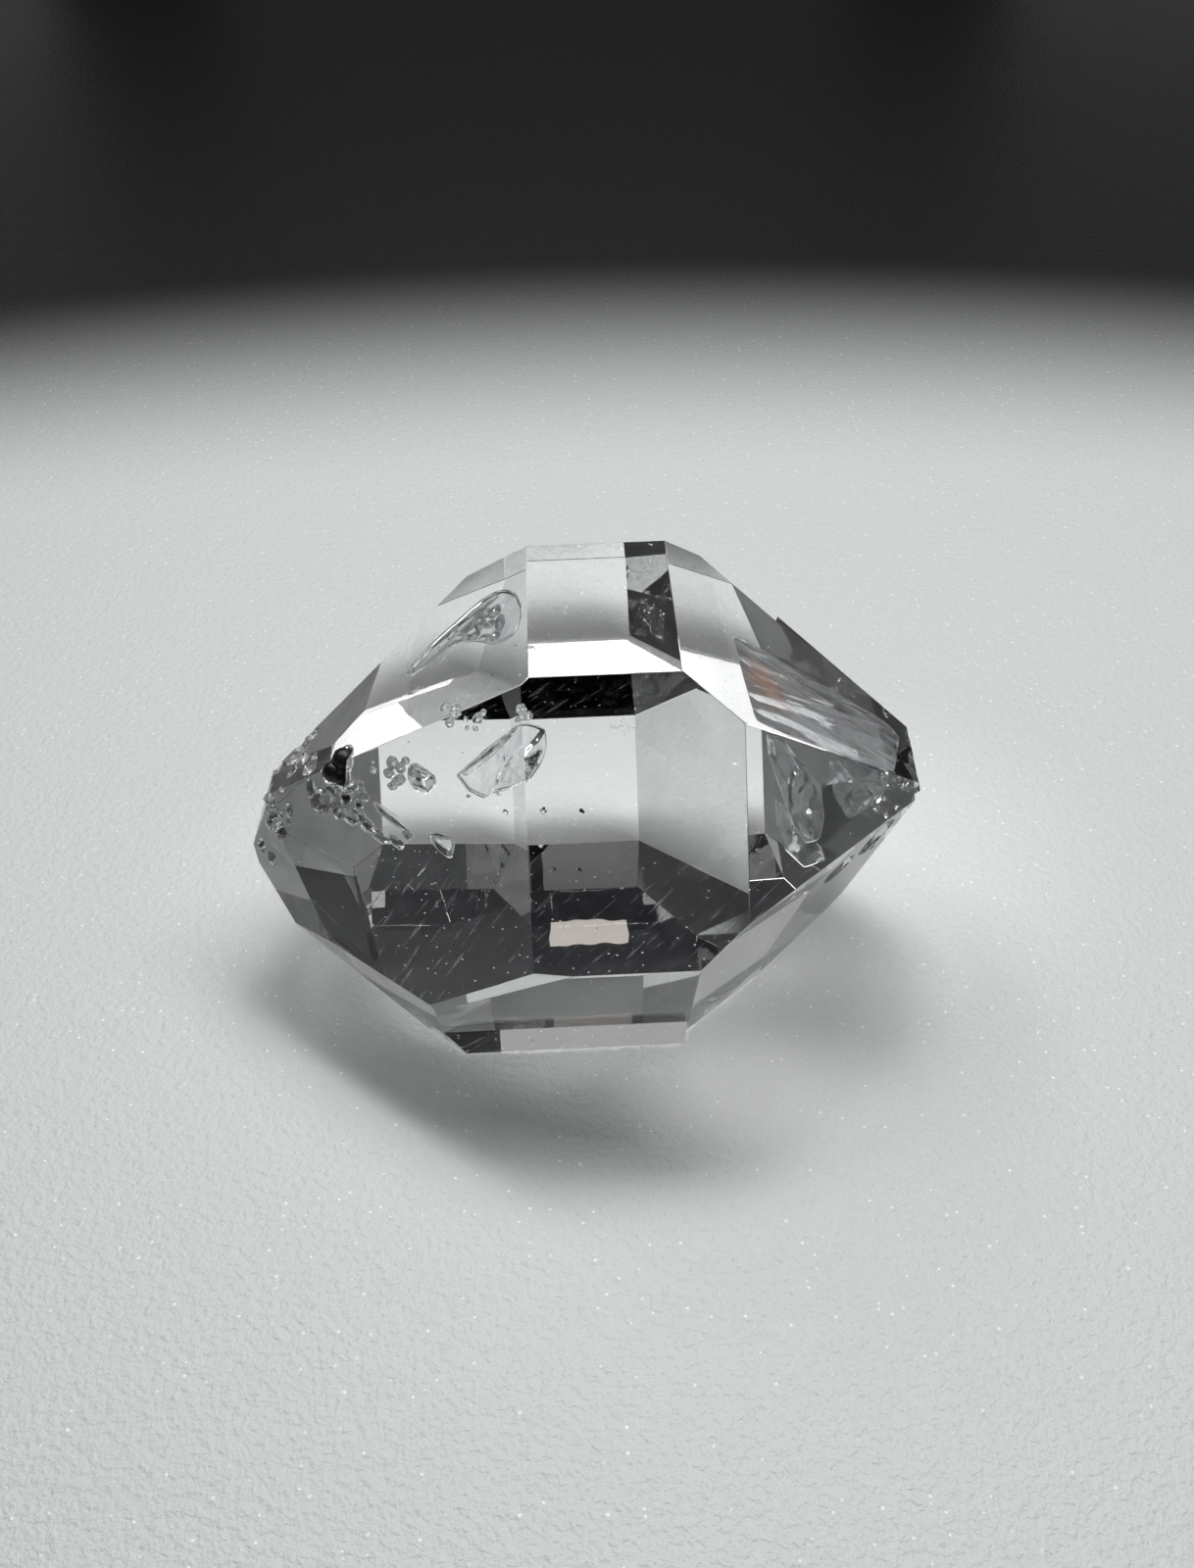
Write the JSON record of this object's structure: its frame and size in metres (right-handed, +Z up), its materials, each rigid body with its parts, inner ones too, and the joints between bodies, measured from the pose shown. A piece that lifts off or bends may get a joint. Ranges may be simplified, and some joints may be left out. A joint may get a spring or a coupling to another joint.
{
  "type": "herkimer diamond quartz crystal",
  "caption": "Clear double-ended quartz crystal lying on a prism face, with an etched end, a broken tip and a black carbon inclusion.",
  "frame": {"origin": "centre of the bounding box's bottom face, on the surface that the crystal lies on", "axes": "+X along the crystal's long axis towards the broken tip, +Z up, -Y towards the viewer of the picture"},
  "size_m": [0.029, 0.0228, 0.0186],
  "materials": {
    "clear_quartz": "glassy natural faces",
    "black_carbon": "dull black with small glints"
  },
  "bodies": {
    "root": {"crystal": "clear_quartz", "carbon_inclusion": "black_carbon"}
  },
  "joints": []
}
